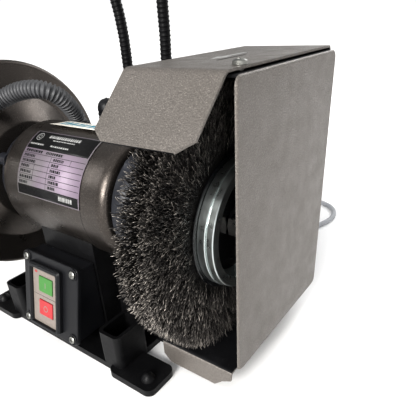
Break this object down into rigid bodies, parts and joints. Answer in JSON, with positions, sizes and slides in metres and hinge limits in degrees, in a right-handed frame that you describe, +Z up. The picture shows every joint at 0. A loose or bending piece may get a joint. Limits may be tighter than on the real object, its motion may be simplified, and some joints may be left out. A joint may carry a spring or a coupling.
{
  "type": "bench grinder",
  "caption": "Bench grinder with a guarded wire brush on one end, a grinding wheel on the other and two lamp arms.",
  "frame": {"origin": "centre of the base's underside, on the bench", "axes": "+X along the spindle towards the wire brush, +Y to the back, +Z up; the switch faces -Y"},
  "size_m": [0.4416, 0.6631, 0.4842],
  "materials": {
    "hammered": "hammered bronze-grey enamel",
    "guard_paint": "hammered warm grey enamel on sheet steel",
    "black_cast": "black enamel on a casting",
    "black_plastic": "fine-grained moulding",
    "black_gloss": "glossy black, turned",
    "steel": "turned",
    "zinc": "zinc plated",
    "core_steel": "laminated",
    "copper": "varnished copper wire",
    "wire": "crimped steel wire",
    "stone": "bonded abrasive",
    "grey_hose": "ribbed hose",
    "lead_sheath": "smooth sheath",
    "grey_panel": "matt membrane",
    "green": "satin",
    "red": "satin",
    "clear_shield": "clear pane",
    "label": "printed plate"
  },
  "bodies": {
    "frame": {"base_casting": "black_cast", "bench_bolt_front_left": "black_cast", "bench_bolt_front_right": "black_cast", "bench_bolt_rear_left": "black_cast", "bench_bolt_rear_right": "black_cast", "run_capacitor": "black_plastic", "motor_housing": "hammered", "stator_core": "core_steel", "stator_windings": "copper", "end_bell_right": "black_cast", "end_bell_left": "black_cast", "bearing_left": "steel", "bearing_right": "steel", "nameplate": "label", "brush_guard_body": "guard_paint", "brush_guard_cover": "guard_paint", "guard_screw_top": "zinc", "guard_screw_rear": "zinc", "wheel_guard_body": "hammered", "wheel_guard_cover": "hammered", "tool_rest_bracket": "black_cast", "eye_shield_arm": "black_cast", "shield_switch_box": "black_plastic", "terminal_box": "black_plastic", "terminal_lid": "black_plastic", "conduit_gland": "black_plastic", "lamp_gland": "black_plastic", "conduit": "grey_hose", "switch_box": "black_plastic", "switch_cover": "black_plastic", "switch_panel": "grey_panel", "switch_block": "black_plastic", "switch_screw_1": "zinc", "switch_screw_2": "zinc", "switch_screw_3": "zinc", "switch_screw_4": "zinc", "mains_gland": "black_plastic", "mains_lead": "lead_sheath", "mains_lead_coil": "lead_sheath", "mains_plug": "lead_sheath"},
    "spindle": {"motor_shaft": "steel", "rotor": "core_steel", "brush_flange_inner": "black_gloss", "wire_brush": "wire", "brush_flange_outer": "black_gloss", "brush_nut": "steel", "grinding_wheel": "stone", "wheel_flange_inner": "steel", "wheel_flange_outer": "steel", "wheel_nut": "steel"},
    "start_button": {"start_button": "green"},
    "stop_button": {"stop_button": "red"},
    "tool_rest": {"tool_rest_table": "black_cast"},
    "tool_rest_knob": {"tool_rest_knob": "black_plastic"},
    "eye_shield": {"eye_shield": "clear_shield"},
    "spark_deflector": {"spark_deflector": "hammered"},
    "lamp_arm_left": {"gooseneck_left": "black_cast"},
    "lamp_arm_right": {"gooseneck_right": "black_cast"},
    "lamp_head_left": {"lamp_head_left": "black_cast"},
    "lamp_head_right": {"lamp_head_right": "black_cast"}
  },
  "joints": [
    {"name": "shaft_spin", "type": "hinge", "parent": "frame", "child": "spindle", "pos_m": [0, 0, 0.172], "axis": [1, 0, 0], "continuous": true},
    {"name": "start_press", "type": "slide", "parent": "frame", "child": "start_button", "axis": [0, 0.9707, -0.2402], "range_m": [0, 0.003], "stiffness_N_per_m": 400},
    {"name": "stop_press", "type": "slide", "parent": "frame", "child": "stop_button", "axis": [0, 0.9707, -0.2402], "range_m": [0, 0.003], "stiffness_N_per_m": 400},
    {"name": "tool_rest_slide", "type": "slide", "parent": "frame", "child": "tool_rest", "axis": [0, 1, 0], "range_m": [-0.015, 0.002]},
    {"name": "tool_rest_knob_turn", "type": "hinge", "parent": "tool_rest", "child": "tool_rest_knob", "pos_m": [-0.176, -0.157, 0.15], "axis": [0, 0, 1], "continuous": true},
    {"name": "eye_shield_tilt", "type": "hinge", "parent": "frame", "child": "eye_shield", "pos_m": [-0.18, -0.112, 0.292], "axis": [1, 0, 0], "range_deg": [-55, 35]},
    {"name": "spark_deflector_slide", "type": "slide", "parent": "frame", "child": "spark_deflector", "axis": [0, -0.3746, -0.9272], "range_m": [-0.008, 0.008]},
    {"name": "lamp_left_swivel", "type": "hinge", "parent": "frame", "child": "lamp_arm_left", "pos_m": [-0.013, 0.09, 0.22], "axis": [0, 0, 1], "range_deg": [-30, 30]},
    {"name": "lamp_right_swivel", "type": "hinge", "parent": "frame", "child": "lamp_arm_right", "pos_m": [0.048, 0.09, 0.22], "axis": [0, 0, 1], "range_deg": [-30, 30]},
    {"name": "lamp_left_tilt", "type": "hinge", "parent": "lamp_arm_left", "child": "lamp_head_left", "pos_m": [-0.16, -0.048, 0.454], "axis": [0.8805, -0.4741, 0], "range_deg": [-35, 35]},
    {"name": "lamp_right_tilt", "type": "hinge", "parent": "lamp_arm_right", "child": "lamp_head_right", "pos_m": [0.157, -0.05, 0.452], "axis": [0.8944, 0.4472, 0], "range_deg": [-35, 35]}
  ]
}
